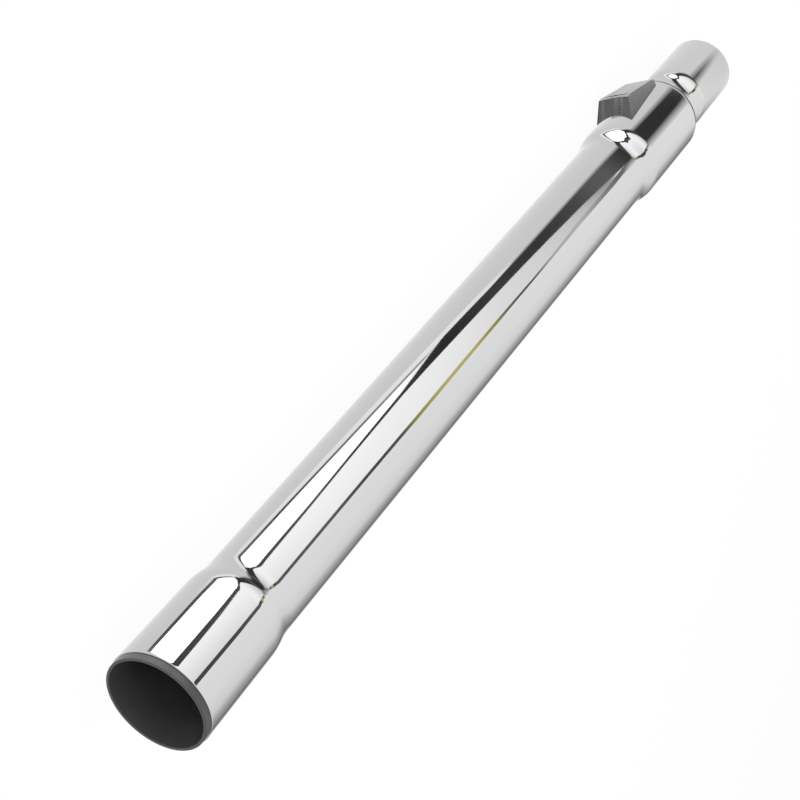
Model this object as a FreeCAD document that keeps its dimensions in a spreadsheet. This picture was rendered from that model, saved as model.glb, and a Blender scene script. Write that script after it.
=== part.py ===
import FreeCAD, Part
import math
import os

import Sketcher
from FreeCAD import Placement, Rotation, Vector

# Telescopic vacuum wand, millimetres. The wand's axis is X, from the middle of the socket's mouth (the
# origin) to the spigot, and Z is up. Pieces are drawn with the button towards +Z, and then the whole wand
# is rolled about its axis until the button's corner touches the surface that the wand lies on.

dimensions = [
    # outer tube, with its socket and its collar
    ("tube_od", 35.0),
    ("tube_wall", 0.8),
    ("tube_length", 316.0),
    ("socket_swell", 2.0),
    ("socket_taper", 0.5),
    ("socket_depth", 42.0),
    ("socket_shoulder", 14.0),
    ("collar_swell", 2.0),
    ("collar_shoulder", 14.0),
    ("lip_bevel", 0.3),
    # liner of the socket
    ("rim_proud", 2.9),
    ("rim_inset", 0.4),
    ("rim_bevel", 0.25),
    ("liner_wall", 1.94),
    ("liner_inset", 2.0),
    ("mouth_flare", 1.8),
    ("mouth_depth", 10.0),
    ("press_gap", 0.06),
    # inner tube, with its spigot
    ("bush_wall", 1.7),
    ("inner_wall", 0.8),
    ("tail_room", 18.0),
    ("neck_length", 8.0),
    ("spigot_swell", 1.25),
    ("spigot_shoulder", 11.5),
    ("spigot_length", 36.2),
    # roller of the lock, and the detents that it drops into
    ("roller_inset", 8.8),
    ("roller_od", 3.2),
    ("roller_length", 8.0),
    ("roller_bevel", 0.3),
    ("roller_lift", 1.5),
    ("roller_play", 0.15),
    ("roller_rest", 0.05),
    ("detent_pitch", 26.0),
    ("detent_depth", 1.3),
    ("detent_width", 9.4),
    ("detent_margin", 10.0),
    # flute that keeps the inner tube from turning, and the key in it
    ("flute_radius", 2.0),
    ("flute_depth", 1.0),
    ("flute_run", 7.5),
    ("key_length", 12.0),
    # guide sleeve in the collar
    ("running_gap", 0.25),
    ("sleeve_inset", 2.5),
    ("flange_inset", 0.4),
    ("flange_thickness", 2.0),
    ("flange_bevel", 0.4),
    ("lug_thickness", 3.0),
    ("lug_height", 0.9),
    # slot of the collar, and the slider in it
    ("slot_inset", 14.1),
    ("slot_width", 9.4),
    ("slot_land", 4.8),
    ("slider_length", 16.5),
    ("slider_height", 2.5),
    ("slider_lip", 2.4),
    ("slider_lip_thickness", 0.6),
    ("slider_travel", 5.0),
    ("slider_gap", 0.3),
    ("ramp_gap", 0.1),
    ("ramp_wall", 1.2),
    ("ramp_reach", 0.64),
    # return springs
    ("spring_od", 3.0),
    ("spring_wire", 0.42),
    ("spring_turns", 6),
    ("spring_length", 15.0),
    ("spring_spacing", 4.4),
    ("spring_sink", 0.05),
    ("spring_pocket", 4.8),
    # button
    ("button_lead", 6.2),
    ("button_trail", 5.8),
    ("button_width", 18.6),
    ("button_tail_radius", 7.2),
    ("button_skirt", 2.2),
    ("button_height", 7.2),
    ("button_lean", 6.4),
    ("button_crest", 3.3),
    ("nail_width", 14.6),
    ("nail_run", 2.0),
    ("nail_depth", 1.2),
    ("button_tail_height", 3.1),
    ("button_tail_run", 8.4),
    ("button_draft", 6.5),
    ("button_wall", 1.7),
    ("button_roof", 2.55),
    ("button_corner", 0.5),
    ("scoop_radius", 26.0),
    ("scoop_depth", 1.0),
    ("rib_thickness", 1.4),
    # tail bush and seal on the hidden end of the inner tube
    ("bush_length", 12.0),
    ("bush_end", 1.5),
    ("seal_width", 4.0),
    ("seal_depth", 0.75),
]

tolerance = 0.01  # for finding an edge by its place

doc = FreeCAD.newDocument("vacuum_wand")
sheet = doc.addObject("Spreadsheet::Sheet", "dims")
for row, (alias, value) in enumerate(dimensions, start=1):
    sheet.set("A%d" % row, alias)
    sheet.set("B%d" % row, str(value))
    sheet.setAlias("B%d" % row, alias)
doc.recompute()

names = {alias for alias, value in dimensions}


def formula(text):
    """Write the sheet's name before each of its values in a formula."""
    words = []
    word = ""
    for letter in text + " ":
        if letter.isalnum() or letter == "_":
            word += letter
            continue
        words.append("dims." + word if word in names else word)
        words.append(letter)
        word = ""
    return "".join(words).strip()


def size(text):
    """The present value of a formula."""
    found = sheet.evalExpression(formula(text))
    return float(getattr(found, "Value", found))


def bind(item, **formulas):
    """Tie properties to formulas; a double underscore stands for the dot in a property's path."""
    for path, text in formulas.items():
        item.setExpression(path.replace("__", "."), formula(text))


# Radii that follow from the driving sizes: each tube and piece lies inside the one before it
tube_r = "(tube_od / 2)"
socket_mouth_r = f"({tube_r} + socket_swell)"
socket_root_r = f"({socket_mouth_r} - socket_taper)"
liner_bore_r = f"({socket_root_r} - tube_wall - press_gap - liner_wall)"
mouth_r = f"({liner_bore_r} + mouth_flare)"
rim_r = f"({socket_mouth_r} - rim_inset)"
collar_r = f"({tube_r} + collar_swell)"
collar_bore_r = f"({collar_r} - tube_wall)"
inner_r = f"({tube_r} - tube_wall - bush_wall)"
inner_mid_r = f"({inner_r} - inner_wall / 2)"
spigot_r = f"({inner_r} + spigot_swell)"
sleeve_r = f"({collar_bore_r} - press_gap)"
sleeve_bore_r = f"({inner_r} + running_gap)"
flange_r = f"({collar_r} - flange_inset)"
bush_r = f"({tube_r} - tube_wall - running_gap)"

# Heights over the axis, on the button's side
roller_r = "(roller_od / 2)"
detent_r = f"({roller_r} + roller_play)"
detent_z = f"({inner_r} - detent_depth + {detent_r})"
roller_z = f"({detent_z} + roller_rest)"
slider_half = "(slot_width / 2 - slider_gap)"
lip_half = "(slot_width / 2 + slider_lip - slider_gap)"
lip_r = f"({collar_bore_r} - slider_gap)"
lip_floor = f"(sqrt({lip_r} ^ 2 - {lip_half} ^ 2) - slider_lip_thickness)"
pocket_floor = f"({lip_floor} - slider_gap)"
spring_r = "(spring_od / 2)"
spring_z = f"({collar_bore_r} - spring_sink)"
button_base = f"({collar_r} - button_skirt)"
button_top = f"({collar_r} + button_height)"
button_rise = "(button_height + button_skirt)"

# Places along the axis, from the socket's mouth to the spigot's end
liner_end = "(socket_depth - liner_inset)"
tube_start = "(socket_depth + socket_shoulder)"
tube_stop = f"({tube_start} + tube_length)"
collar_start = f"({tube_stop} + collar_shoulder)"
sleeve_start = f"({collar_start} + sleeve_inset)"
slot_start = f"({collar_start} + slot_inset)"
slider_start = f"({slot_start} + slider_gap)"
slider_end = f"({slider_start} + slider_length)"
roller_place = f"({slider_start} + roller_inset)"
spring_back = f"({slider_end} - spring_pocket + slider_gap / 2)"
lug_start = f"({spring_back} + spring_length + slider_gap / 2)"
lug_end = f"({lug_start} + lug_thickness)"
slot_end = f"({lug_end} + slider_gap)"
collar_end = f"({slot_end} + slot_land)"
flange_end = f"({collar_end} + flange_thickness)"
neck_end = f"({flange_end} + neck_length)"
spigot_start = f"({neck_end} + spigot_shoulder)"
wand_end = f"({spigot_start} + spigot_length)"
inner_tail = f"({liner_end} + tail_room)"
bush_start = f"({inner_tail} - bush_end)"
bush_stop = f"({bush_start} + bush_length)"
button_front = f"({slot_start} - button_lead)"
button_end = f"({slot_end} + button_trail)"


def attach(sketch, body, plane):
    """Lay a sketch on one of its own body's origin planes."""
    support = [item for item in body.Origin.OriginFeatures if item.Role == plane][0]
    sketch.AttachmentSupport = [(support, "")]
    sketch.MapMode = "FlatFace"


def hold(sketch, text, kind, *geometry):
    """Add a dimension to a sketch and tie it to a formula."""
    number = sketch.addConstraint(Sketcher.Constraint(kind, *geometry, size(text)))
    sketch.setExpression("Constraints[%d]" % number, formula(text))


# Sketch of a closed outline: each corner is a pair of formulas, and an edge is a straight line, or an arc
# whose radius formula and turn (1 anticlockwise, -1 clockwise) are given at the corner where it starts.
def outline(body, name, plane, corners, arcs=None, offset="0"):
    arcs = arcs or {}
    sketch = body.newObject("Sketcher::SketchObject", name)
    attach(sketch, body, plane)
    bind(sketch, AttachmentOffset__Base__z=offset)
    points = [Vector(size(across), size(up), 0) for across, up in corners]
    ends = []
    for index, start in enumerate(points):
        stop = points[(index + 1) % len(points)]
        if index not in arcs:
            ends.append((sketch.addGeometry(Part.LineSegment(start, stop), False), 1, 2))
            continue
        text, turn = arcs[index]
        radius = size(text)
        chord = stop - start
        side = Vector(-chord.y, chord.x, 0).normalize() * turn
        centre = (start + stop) * 0.5 + side * math.sqrt(radius ** 2 - (chord.Length / 2) ** 2)
        first, last = (start, stop) if turn > 0 else (stop, start)
        begin, finish = [math.atan2(end.y - centre.y, end.x - centre.x) for end in (first, last)]
        if finish <= begin:
            finish += 2 * math.pi
        circle = Part.Circle(centre, Vector(0, 0, 1), radius)
        curve = sketch.addGeometry(Part.ArcOfCircle(circle, begin, finish), False)
        ends.append((curve, 1, 2) if turn > 0 else (curve, 2, 1))
    for index, (curve, begin, finish) in enumerate(ends):
        following, next_begin, next_finish = ends[(index + 1) % len(ends)]
        sketch.addConstraint(Sketcher.Constraint("Coincident", curve, finish, following, next_begin))
    for index, (curve, begin, finish) in enumerate(ends):
        hold(sketch, corners[index][0], "DistanceX", -1, 1, curve, begin)
        hold(sketch, corners[index][1], "DistanceY", -1, 1, curve, begin)
        if index in arcs:
            hold(sketch, arcs[index][0], "Radius", curve)
    return sketch


def turned(label, corners, arcs=None):
    """A solid of revolution about the wand's axis, from an outline of distances along it and radii."""
    body = doc.addObject("PartDesign::Body", label)
    sketch = outline(body, label + "_profile", "XZ_Plane", corners, arcs)
    revolution = body.newObject("PartDesign::Revolution", label + "_turned")
    revolution.Profile = sketch
    revolution.ReferenceAxis = (sketch, ["H_Axis"])
    revolution.Angle = 360
    doc.recompute()
    return body


def bar(label, corners, width):
    """A side outline in the X-Z plane, extruded evenly to both sides."""
    body = doc.addObject("PartDesign::Body", label)
    sketch = outline(body, label + "_outline", "XZ_Plane", corners)
    pad = body.newObject("PartDesign::Pad", label + "_pad")
    pad.Profile = sketch
    pad.Midplane = True
    bind(pad, Length=width)
    doc.recompute()
    return body


def rod_along(label, radius, start, stop, across="0", up="0"):
    """A cylinder along the wand."""
    rod = doc.addObject("Part::Cylinder", label)
    rod.Placement = Placement(Vector(0, 0, 0), Rotation(Vector(0, 1, 0), 90))
    bind(rod, Radius=radius, Height=f"({stop}) - ({start})")
    bind(rod, Placement__Base__x=start, Placement__Base__y=across, Placement__Base__z=up)
    return rod


def rod_across(label, radius, length, along, up):
    """A cylinder across the wand, centred on it."""
    rod = doc.addObject("Part::Cylinder", label)
    rod.Placement = Placement(Vector(0, 0, 0), Rotation(Vector(1, 0, 0), -90))
    bind(rod, Radius=radius, Height=length)
    bind(rod, Placement__Base__x=along, Placement__Base__y=f"-({length}) / 2", Placement__Base__z=up)
    return rod


def block(label, start, stop, half, bottom, top, left=None):
    """A box from start to stop along the wand, half to each side unless its left face is given."""
    left = left or f"-({half})"
    box = doc.addObject("Part::Box", label)
    bind(box, Length=f"({stop}) - ({start})", Width=f"({half}) - ({left})")
    bind(box, Height=f"({top}) - ({bottom})")
    bind(box, Placement__Base__x=start, Placement__Base__y=left, Placement__Base__z=bottom)
    return box


def cut(label, base, tool):
    result = doc.addObject("Part::Cut", label)
    result.Base = base
    result.Tool = tool
    result.Refine = True
    return result


def join(label, *pieces):
    result = doc.addObject("Part::MultiFuse", label)
    result.Shapes = list(pieces)
    result.Refine = True
    return result


def overlap(label, *pieces):
    result = doc.addObject("Part::MultiCommon", label)
    result.Shapes = list(pieces)
    return result


def swage(first, first_r, last, last_r):
    """Middle of a drawn shoulder between two radii, and the radius of its two equal arcs."""
    middle = (f"(({first}) + ({last})) / 2", f"(({first_r}) + ({last_r})) / 2")
    run = f"(({last}) - ({first}))"
    rise = f"(({last_r}) - ({first_r}))"
    return middle, f"({run} ^ 2 + {rise} ^ 2) / (4 * abs({rise}))"


# Outer tube: one drawn tube, its wall of one thickness from the socket to the collar
def outer_wall(inset):
    mouth = ("rim_proud", f"{socket_mouth_r} - {inset}")
    root = ("socket_depth", f"{socket_root_r} - {inset}")
    plain = (tube_start, f"{tube_r} - {inset}")
    swell = (tube_stop, f"{tube_r} - {inset}")
    full = (collar_start, f"{collar_r} - {inset}")
    end = (collar_end, f"{collar_r} - {inset}")
    near, near_bend = swage(*root, *plain)
    far, far_bend = swage(*swell, *full)
    return [mouth, root, near, plain, swell, far, full, end], near_bend, far_bend


outside, near_bend, far_bend = outer_wall("0")
inside = outer_wall("tube_wall")[0]
outer_arcs = {
    1: (near_bend, -1), 2: (near_bend, 1), 4: (far_bend, 1), 5: (far_bend, -1),
    9: (far_bend, 1), 10: (far_bend, -1), 12: (near_bend, -1), 13: (near_bend, 1),
}
tube_wall = turned("drawn_tube", outside + inside[::-1], outer_arcs)


def bevel_ends(body, places, width):
    """Break the circular edges of a turned body at the given places along it and radii."""
    chosen = []
    for number, edge in enumerate(body.Shape.Edges, start=1):
        if edge.Curve.TypeId != "Part::GeomCircle":
            continue
        for along, around in places:
            at_place = abs(edge.Curve.Center.x - size(along)) < tolerance
            if at_place and abs(edge.Curve.Radius - size(around)) < tolerance:
                chosen.append("Edge%d" % number)
    tip = body.Tip
    bevel = body.newObject("PartDesign::Chamfer", body.Label + "_bevel")
    bevel.Base = (tip, chosen)
    bind(bevel, Size=width)
    doc.recompute()


bevel_ends(tube_wall, [outside[0], outside[-1]], "lip_bevel")
slot = block("slot", slot_start, slot_end, "slot_width / 2", tube_r, button_top)
outer_tube = cut("outer_tube", tube_wall, slot)

# Liner of the socket: a plastic sleeve that follows the socket's taper, with a proud ring at the mouth
liner_fall = f"socket_taper * ({liner_end} - rim_proud) / (socket_depth - rim_proud)"
socket_liner = turned("socket_liner", [
    ("0", mouth_r),
    ("0", rim_r),
    ("rim_proud", rim_r),
    ("rim_proud", f"{socket_mouth_r} - tube_wall - press_gap"),
    (liner_end, f"{socket_mouth_r} - {liner_fall} - tube_wall - press_gap"),
    (liner_end, liner_bore_r),
    ("mouth_depth", liner_bore_r),
])
bevel_ends(socket_liner, [("0", rim_r), ("0", mouth_r)], "rim_bevel")


# Inner tube: drawn tube that opens into the spigot, then the detents and the flute pressed into its wall
def inner_wall(inset):
    tail = (inner_tail, f"{inner_r} - {inset}")
    neck = (neck_end, f"{inner_r} - {inset}")
    root = (spigot_start, f"{spigot_r} - {inset}")
    tip = (wand_end, f"{spigot_r} - {inset}")
    middle, bend = swage(*neck, *root)
    return [tail, neck, middle, root, tip], bend


spigot_outside, spigot_bend = inner_wall("0")
spigot_inside = inner_wall("inner_wall")[0]
spigot_arcs = {1: (spigot_bend, 1), 2: (spigot_bend, -1), 6: (spigot_bend, 1), 7: (spigot_bend, -1)}
spigot_tube = turned("spigot_tube", spigot_outside + spigot_inside[::-1], spigot_arcs)
bevel_ends(spigot_tube, [spigot_outside[-1]], "lip_bevel")

detent_count = int(size(f"({roller_place} - {bush_stop} - detent_margin) / detent_pitch")) + 1
key_end = f"({sleeve_start} + key_length)"
flute_end = f"({key_end} + flute_run)"
flute_z = f"-({inner_r} - flute_depth + flute_radius)"


def pressed(label, growth):
    """Shapes that press the detents and the flute into the wall, grown by the thickness of the metal."""
    shapes = []
    for step in range(detent_count):
        name = f"{label}_detent_{step}"
        place = f"{roller_place} - {step} * detent_pitch"
        width = f"detent_width + 2 * ({growth})"
        shapes.append(rod_across(name, f"{detent_r} + {growth}", width, place, detent_z))
    radius = f"flute_radius + {growth}"
    shapes.append(rod_along(label + "_flute", radius, inner_tail, flute_end, "0", flute_z))
    nose = doc.addObject("Part::Sphere", label + "_flute_nose")
    bind(nose, Radius=radius, Placement__Base__x=flute_end, Placement__Base__z=flute_z)
    shapes.append(nose)
    return join(label, *shapes)


wall_core = rod_along("wall_core", inner_mid_r, inner_tail, neck_end)
pressed_metal = overlap("pressed_metal", pressed("press_outer", "inner_wall"), wall_core)
embossed_tube = join("embossed_tube", spigot_tube, pressed_metal)
inner_tube = cut("inner_tube", embossed_tube, pressed("press_inner", "0"))

# Guide sleeve: carries the inner tube in the collar; a window for the roller, a pocket for the slider
sleeve_ring = turned("sleeve_ring", [
    (sleeve_start, sleeve_bore_r),
    (sleeve_start, sleeve_r),
    (collar_end, sleeve_r),
    (collar_end, flange_r),
    (flange_end, flange_r),
    (flange_end, sleeve_bore_r),
])
bevel_ends(sleeve_ring, [(flange_end, flange_r)], "flange_bevel")
key_reach = f"({sleeve_bore_r} + running_gap)"
key = overlap(
    "key",
    rod_along("key_rod", "flute_radius - running_gap", sleeve_start, key_end, "0", flute_z),
    rod_along("key_limit", key_reach, sleeve_start, key_end),
)
lug = block("lug", lug_start, lug_end, slider_half, pocket_floor, f"{collar_r} + lug_height")
pocket = block("pocket", slot_start, lug_start, f"{lip_half} + slider_gap", pocket_floor, button_top)
window_half = f"({roller_r} + roller_play)"
window = block(
    "window", f"{roller_place} - {window_half}", f"{roller_place} + {window_half}",
    "roller_length / 2 + slider_gap", f"{inner_r} - detent_depth", button_top,
)
hollow_sleeve = cut("hollow_sleeve", sleeve_ring, join("sleeve_hollows", pocket, window))
guide_sleeve = join("guide_sleeve", hollow_sleeve, key, lug)

# Slider: a block in the collar's slot, held down by a lip on each side; its ramp frees the roller
lip = overlap(
    "lip",
    rod_along("lip_round_back", lip_r, slider_start, slider_end),
    block("lip_block", slider_start, slider_end, lip_half, lip_floor, collar_r),
)
core = block("core", slider_start, slider_end, slider_half, lip_floor, f"{collar_r} + slider_height")
ramp_slope = "(roller_lift / slider_travel)"
ramp_over = f"({roller_z} + ({roller_r} + ramp_gap) * sqrt(1 + {ramp_slope} ^ 2))"
ramp_back = f"({slider_start} + ramp_wall)"
ramp_end = f"({roller_place} + {roller_r} + ramp_reach)"
ramp = bar("ramp", [
    (ramp_back, inner_r),
    (ramp_end, inner_r),
    (ramp_end, f"{ramp_over} - {ramp_slope} * ({ramp_end} - {roller_place})"),
    (ramp_back, f"{ramp_over} + {ramp_slope} * ({roller_place} - {ramp_back})"),
], f"2 * {collar_r}")
hole_r = f"{spring_r} + slider_gap / 2"
hole_start = f"{slider_end} - spring_pocket"
hole_end = f"{slider_end} + slider_gap"
spring_holes = []
for name, side in (("left", "spring_spacing / 2"), ("right", "-spring_spacing / 2")):
    spring_holes.append(rod_along("hole_" + name, hole_r, hole_start, hole_end, side, spring_z))
slider_block = join("slider_block", lip, core)
lock_slider = cut("lock_slider", slider_block, join("slider_hollows", ramp, *spring_holes))

# Roller: a short pin with bevelled ends, across the wand
locking_roller = doc.addObject("PartDesign::Body", "locking_roller")
roller_end = locking_roller.newObject("Sketcher::SketchObject", "roller_end")
attach(roller_end, locking_roller, "XZ_Plane")
roller_middle = Vector(size(roller_place), size(roller_z), 0)
roller_circle = roller_end.addGeometry(Part.Circle(roller_middle, Vector(0, 0, 1), size(roller_r)), False)
hold(roller_end, roller_place, "DistanceX", -1, 1, roller_circle, 3)
hold(roller_end, roller_z, "DistanceY", -1, 1, roller_circle, 3)
hold(roller_end, roller_r, "Radius", roller_circle)
roller_pad = locking_roller.newObject("PartDesign::Pad", "roller_pad")
roller_pad.Profile = roller_end
roller_pad.Midplane = True
bind(roller_pad, Length="roller_length")
doc.recompute()
roller_bevel = locking_roller.newObject("PartDesign::Chamfer", "roller_bevel")
roller_bevel.Base = (roller_pad, ["Edge%d" % (n + 1) for n, edge in enumerate(roller_pad.Shape.Edges)
                                  if edge.Curve.TypeId == "Part::GeomCircle"])
bind(roller_bevel, Size="roller_bevel")


# Return springs: wire with a six-sided section, from the slider's hole to the sleeve's lug
def spring(label, side):
    body = doc.addObject("PartDesign::Body", label)
    wire_r = "spring_wire / 2"
    coil_r = f"{spring_r} - {wire_r}"
    corners = []
    for turn in range(0, 360, 60):
        along = f"{wire_r} + {wire_r} * cos({turn} deg)"
        corners.append((along, f"{coil_r} + {wire_r} * sin({turn} deg)"))
    sketch = outline(body, label + "_wire", "XZ_Plane", corners, offset=side)
    bind(sketch, AttachmentOffset__Base__x=spring_back, AttachmentOffset__Base__y=spring_z)
    helix = body.newObject("PartDesign::AdditiveHelix", label + "_coil")
    helix.Profile = sketch
    helix.ReferenceAxis = (sketch, ["H_Axis"])
    helix.Mode = "height-turns-angle"
    bind(helix, Height="spring_length - spring_wire", Turns="spring_turns")
    doc.recompute()
    return body


return_spring_left = spring("return_spring_left", "-spring_spacing / 2")
return_spring_right = spring("return_spring_right", "spring_spacing / 2")

# Button: drafted in plan, cut to its side outline, hollow over the slider and hugging the collar, with a
# crescent recess for a fingernail behind its crest
plan = doc.addObject("PartDesign::Body", "button_plan")
tail_centre = f"({button_end} - button_tail_radius)"
plan_sketch = outline(plan, "button_plan_outline", "XY_Plane", [
    (button_front, "-button_width / 2"),
    (tail_centre, "-button_tail_radius"),
    (button_end, "0"),
    (tail_centre, "button_tail_radius"),
    (button_front, "button_width / 2"),
], {1: ("button_tail_radius", 1), 2: ("button_tail_radius", 1)}, button_base)
plan_pad = plan.newObject("PartDesign::Pad", "button_plan_pad")
plan_pad.Profile = plan_sketch
bind(plan_pad, Length=button_rise, TaperAngle="-button_draft")
doc.recompute()

plan_taper = f"((button_width / 2 - button_tail_radius) / ({tail_centre} - {button_front}))"
draft_in = f"{button_rise} * tan(button_draft * 1 deg)"
corner_half = f"(button_width / 2 - button_lean * {plan_taper} - {draft_in})"
crest_start = f"({button_front} + button_lean)"
crest_end = f"({crest_start} + button_crest)"
tail_break = f"({button_end} - button_tail_run)"
tail_top = f"({collar_r} + button_tail_height)"
button_side = bar("button_side", [
    (button_front, button_base),
    (button_end, button_base),
    (button_end, f"{collar_r} + slider_gap"),
    (tail_break, tail_top),
    (crest_end, button_top),
    (crest_start, button_top),
], "button_width * 2")
room_r = f"{collar_r} + slider_gap"
room_start = f"{button_front} - button_wall"
collar_room = rod_along("collar_room", room_r, room_start, f"{button_end} + button_wall")
roof_fall = f"(({button_top} - {tail_top}) / ({tail_break} - {crest_end}))"
cavity_front = f"({crest_start} + button_wall)"
cavity_back = f"({lug_end} + 2 * slider_gap)"
cavity = bar("cavity", [
    (f"{slider_start} - slider_gap / 2", button_base),
    (cavity_back, button_base),
    (cavity_back, f"{tail_top} - button_wall - {roof_fall} * button_wall"),
    (cavity_front, f"{button_top} - button_roof"),
    (f"{slider_start} - slider_gap / 2", f"{collar_r} + slider_height + slider_gap"),
], f"{slider_half} * 2 + rib_thickness * 2")
nail_r = "((nail_width ^ 2 / 4 + nail_run ^ 2) / (2 * nail_run))"
nail_floor = f"({button_top} - nail_depth)"
nail_bow = doc.addObject("Part::Cylinder", "nail_bow")
bind(nail_bow, Radius=nail_r, Height=button_rise)
bind(nail_bow, Placement__Base__x=f"{crest_end} + nail_run - {nail_r}", Placement__Base__z=nail_floor)
nail_back = f"{crest_end} + 2 * nail_run"
nail_top = f"{button_top} + nail_depth"
nail_block = block("nail_block", crest_end, nail_back, "nail_width", nail_floor, nail_top)
nail_recess = overlap("nail_recess", nail_bow, nail_block)
button_shell = cut(
    "button_shell",
    overlap("button_form", plan, button_side),
    join("button_hollows", collar_room, cavity, nail_recess),
)
ribs = []
rib_bottom = f"{collar_r} + 2 * slider_gap"
rib_top = f"{collar_r} + slider_height + slider_gap"
rib_places = {"front": f"{slider_start} + rib_thickness", "back": f"{slider_end} - 2 * rib_thickness"}
rib_sides = {"left": f"{slider_half} + press_gap", "right": f"-{slider_half} - press_gap - rib_thickness"}
for place, along in rib_places.items():
    for name, side in rib_sides.items():
        stop = f"{along} + rib_thickness"
        far_side = f"{side} + rib_thickness"
        ribs.append(block(f"rib_{place}_{name}", along, stop, far_side, rib_bottom, rib_top, side))
lean = f"atan(button_lean / {button_rise})"
scoop_ahead = f"(scoop_depth - scoop_radius) / cos({lean})"
scoop = doc.addObject("Part::Cylinder", "scoop")
scoop.Placement = Placement(Vector(0, 0, 0), Rotation(Vector(0, 1, 0), size(lean)))
bind(scoop, Radius="scoop_radius", Height=f"4 * {collar_r}", Placement__Rotation__Angle=lean)
bind(scoop, Placement__Base__x=f"{button_front} + {scoop_ahead} - 2 * {collar_r} * sin({lean})")
bind(scoop, Placement__Base__z=f"{button_base} - 2 * {collar_r} * cos({lean})")
scooped_button = cut("scooped_button", join("button_body", button_shell, *ribs), scoop)
doc.recompute()


def crest_edges(shape):
    """Numbers of the edges along the front of the button's crest, where the thumb pushes."""
    top = size(button_top)
    back = size(crest_end)
    numbers = []
    for number, edge in enumerate(shape.Edges, start=1):
        ends = [vertex.Point for vertex in edge.Vertexes]
        level = all(abs(end.z - top) < tolerance for end in ends)
        ahead = all(end.x < back - tolerance for end in ends)
        if level and ahead:
            numbers.append(number)
    return numbers


slide_button = doc.addObject("Part::Fillet", "slide_button")
slide_button.Base = scooped_button
crest_round = size("button_corner")
slide_button.Edges = [(number, crest_round, crest_round) for number in crest_edges(scooped_button.Shape)]

# Tail bush and seal: slide in the outer tube and close the gap round the inner tube's hidden end
seal_start = f"(({bush_start} + {bush_stop}) / 2)"
seal_floor = f"({bush_r} - seal_depth)"
tail_bush = turned("tail_bush", [
    (bush_start, f"{inner_r} - inner_wall"),
    (bush_start, bush_r),
    (seal_start, bush_r),
    (seal_start, seal_floor),
    (f"{seal_start} + seal_width", seal_floor),
    (f"{seal_start} + seal_width", bush_r),
    (bush_stop, bush_r),
    (bush_stop, f"{inner_r} + press_gap"),
    (f"{inner_tail} - press_gap", f"{inner_r} + press_gap"),
    (f"{inner_tail} - press_gap", f"{inner_r} - inner_wall"),
])
tail_seal = turned("tail_seal", [
    (f"{seal_start} + press_gap", f"{seal_floor} + press_gap"),
    (f"{seal_start} + press_gap", f"{bush_r} + press_gap"),
    (f"{seal_start} + seal_width - press_gap", f"{bush_r} + press_gap"),
    (f"{seal_start} + seal_width - press_gap", f"{seal_floor} + press_gap"),
])

# Roll of the wand: it lies on its socket and collar, and the button's top corner stops it from rolling on
corner_far = f"sqrt({corner_half} ^ 2 + {button_top} ^ 2)"
roll = f"180 deg - acos({collar_r} / {corner_far}) - atan({corner_half} / {button_top})"

subparts = [
    outer_tube, socket_liner, inner_tube, guide_sleeve, lock_slider, locking_roller,
    return_spring_left, return_spring_right, slide_button, tail_bush, tail_seal,
]
for piece in subparts:
    piece.Placement = Placement(Vector(0, 0, 0), Rotation(Vector(-1, 0, 0), size(roll)))
    bind(piece, Placement__Rotation__Angle=roll)
doc.recompute()

for item in doc.Objects:
    if "Invalid" in item.State or "Error" in item.State:
        raise RuntimeError("%s did not build" % item.Name)
for piece in subparts:
    if piece.Shape.isNull() or not piece.Shape.isValid():
        raise RuntimeError("%s has no sound shape" % piece.Label)
os.makedirs("parts", exist_ok=True)
for piece in subparts:
    piece.Shape.exportStep("parts/%s.step" % piece.Label)
print("wrote %d pieces, rolled %.3f degrees" % (len(subparts), size(roll)))
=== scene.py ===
import math
import bpy
from mathutils import Matrix, Vector


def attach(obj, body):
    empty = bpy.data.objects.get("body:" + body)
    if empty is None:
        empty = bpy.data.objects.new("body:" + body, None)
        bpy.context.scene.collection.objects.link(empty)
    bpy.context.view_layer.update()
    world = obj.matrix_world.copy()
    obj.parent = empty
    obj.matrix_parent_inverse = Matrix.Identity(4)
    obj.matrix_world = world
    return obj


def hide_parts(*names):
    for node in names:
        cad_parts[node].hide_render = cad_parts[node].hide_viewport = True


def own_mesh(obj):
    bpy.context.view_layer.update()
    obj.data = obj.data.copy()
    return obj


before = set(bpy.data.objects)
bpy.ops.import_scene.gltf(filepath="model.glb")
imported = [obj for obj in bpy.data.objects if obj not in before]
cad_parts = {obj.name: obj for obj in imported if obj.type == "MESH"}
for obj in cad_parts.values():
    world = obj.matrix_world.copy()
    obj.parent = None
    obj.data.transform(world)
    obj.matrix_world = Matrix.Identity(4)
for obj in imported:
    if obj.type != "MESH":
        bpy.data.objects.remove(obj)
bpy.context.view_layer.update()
print("frame loaded:", len(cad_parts), "nodes")

mm = 0.001
rollAngle = math.radians(-118.0996)  # the wand lies on its socket and collar, its button to the side
columns = 160  # faces around a turned piece
rodFaces = 256  # faces around a round cutter
swageFine, swageCoarse = 28, 8  # steps of a swage outside and inside a wall
smoothAngle = math.radians(30)
mergeDistance = 0.001 * mm


# shader maths as plain expressions
class Value:
    def __init__(self, tree, socket):
        self.tree = tree
        self.socket = socket

    def maths(self, operation, first, second):
        node = self.tree.nodes.new("ShaderNodeMath")
        node.operation = operation
        for place, item in enumerate((first, second)):
            if isinstance(item, Value):
                self.tree.links.new(item.socket, node.inputs[place])
            else:
                node.inputs[place].default_value = item
        return Value(self.tree, node.outputs[0])

    def __add__(self, other):
        return self.maths("ADD", self, other)

    def __radd__(self, other):
        return self.maths("ADD", other, self)

    def __sub__(self, other):
        return self.maths("SUBTRACT", self, other)

    def __rsub__(self, other):
        return self.maths("SUBTRACT", other, self)

    def __mul__(self, other):
        return self.maths("MULTIPLY", self, other)

    def __rmul__(self, other):
        return self.maths("MULTIPLY", other, self)


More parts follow.
